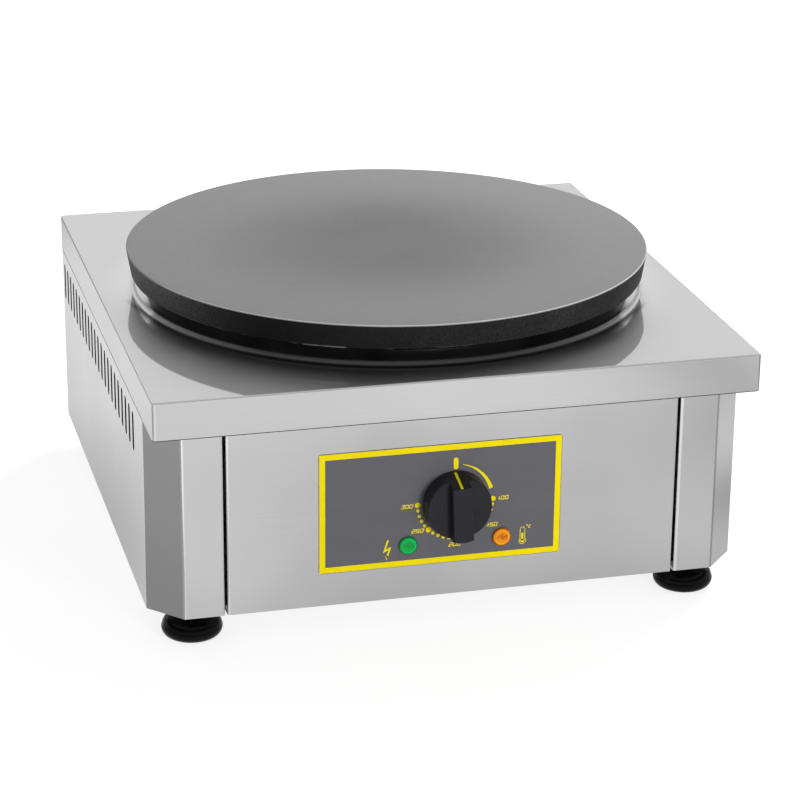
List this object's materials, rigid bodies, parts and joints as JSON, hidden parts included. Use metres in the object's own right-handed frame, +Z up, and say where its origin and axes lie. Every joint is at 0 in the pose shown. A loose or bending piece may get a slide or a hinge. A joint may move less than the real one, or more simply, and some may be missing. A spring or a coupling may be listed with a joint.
{
  "type": "electric crepe maker",
  "caption": "Countertop electric crepe maker: round cast-iron griddle plate over a folded stainless body with a dial thermostat, pilot lamps, side vents and levelling feet.",
  "frame": {"origin": "on the table, at the middle of the whole object's box, between the knob's front and the back of the cable gland", "axes": "+Z up, the dial faces -Y, +X to the right of someone standing at the dial; the plate's axis is 11.25 mm in front of the origin"},
  "size_m": [0.4434, 0.4786, 0.231],
  "materials": {
    "cast_iron": "seasoned, turned top and rough cast edge",
    "polished_stainless": "fine satin, almost mirror",
    "brushed_stainless": "satin",
    "base_steel": "dull mill finish",
    "inner_steel": "aluminised, dull",
    "zinc_fasteners": "zinc plated",
    "stainless_screws": "plain",
    "heater_sheath": "heat darkened",
    "copper": "bare copper",
    "brass_tabs": "bare",
    "ceramic_fibre": "fibrous blanket",
    "label_film": "printed overlay, fine grain",
    "knob_plastic": "moulded, fine grain",
    "yellow_print": "filled line",
    "green_lens": "tinted lens",
    "amber_lens": "tinted lens",
    "lamp_barrel": "plain",
    "phenolic": "moulded",
    "foot_plastic": "moulded, slightly glossy",
    "gland_plastic": "moulded",
    "gland_rubber": "plain",
    "brown_insulation": "silicone",
    "blue_insulation": "silicone",
    "green_insulation": "silicone"
  },
  "bodies": {
    "chassis": {"griddle_plate": "cast_iron", "plate_studs": "zinc_fasteners", "stud_nuts": "zinc_fasteners", "inner_heater": "heater_sheath", "middle_heater": "heater_sheath", "outer_heater": "heater_sheath", "sensing_bulb": "copper", "bulb_clip": "zinc_fasteners", "bulb_clip_screws": "zinc_fasteners", "heater_clamp_plate": "inner_steel", "insulation_pad": "ceramic_fibre", "heat_shield_pan": "inner_steel", "front_support_bar": "inner_steel", "rear_support_bar": "inner_steel", "bar_brackets": "inner_steel", "bracket_screws": "zinc_fasteners", "bracket_nuts": "zinc_fasteners", "deck_cover": "polished_stainless", "left_side_panel": "brushed_stainless", "right_side_panel": "brushed_stainless", "front_panel": "brushed_stainless", "back_panel": "brushed_stainless", "base_plate": "base_steel", "panel_screws": "stainless_screws", "deck_weld_studs": "zinc_fasteners", "deck_nuts": "zinc_fasteners", "control_label": "label_film", "green_lamp_lens": "green_lens", "amber_lamp_lens": "amber_lens", "lamp_bodies": "lamp_barrel", "lamp_clips": "zinc_fasteners", "thermostat_frame": "inner_steel", "thermostat_body": "phenolic", "thermostat_terminals": "brass_tabs", "thermostat_screws": "zinc_fasteners", "foot_bushes": "zinc_fasteners", "terminal_block": "phenolic", "terminal_block_screws": "zinc_fasteners", "earth_stud": "brass_tabs", "earth_nuts": "brass_tabs", "gland_body": "gland_plastic", "gland_dome_nut": "gland_plastic", "gland_seal": "gland_rubber", "gland_lock_nut": "gland_plastic", "live_wires": "brown_insulation", "neutral_wires": "blue_insulation", "earth_wire": "green_insulation", "capillary_tube": "copper", "heater_links": "brass_tabs"},
    "knob": {"control_knob": "knob_plastic", "knob_pointer": "yellow_print", "thermostat_shaft": "zinc_fasteners"},
    "front_left_leg": {"front_left_foot": "foot_plastic", "front_left_foot_stud": "zinc_fasteners"},
    "front_right_leg": {"front_right_foot": "foot_plastic", "front_right_foot_stud": "zinc_fasteners"},
    "rear_left_leg": {"rear_left_foot": "foot_plastic", "rear_left_foot_stud": "zinc_fasteners"},
    "rear_right_leg": {"rear_right_foot": "foot_plastic", "rear_right_foot_stud": "zinc_fasteners"}
  },
  "joints": [
    {"name": "knob_turn", "type": "hinge", "parent": "chassis", "child": "knob", "pos_m": [0, -0.21725, 0.0974], "axis": [0, 1, 0], "range_deg": [0, 273]},
    {"name": "front_left_level", "type": "slide", "parent": "chassis", "child": "front_left_leg", "axis": [0, 0, -1], "range_m": [0, 0.01]},
    {"name": "front_right_level", "type": "slide", "parent": "chassis", "child": "front_right_leg", "axis": [0, 0, -1], "range_m": [0, 0.01]},
    {"name": "rear_left_level", "type": "slide", "parent": "chassis", "child": "rear_left_leg", "axis": [0, 0, -1], "range_m": [0, 0.01]},
    {"name": "rear_right_level", "type": "slide", "parent": "chassis", "child": "rear_right_leg", "axis": [0, 0, -1], "range_m": [0, 0.01]}
  ]
}
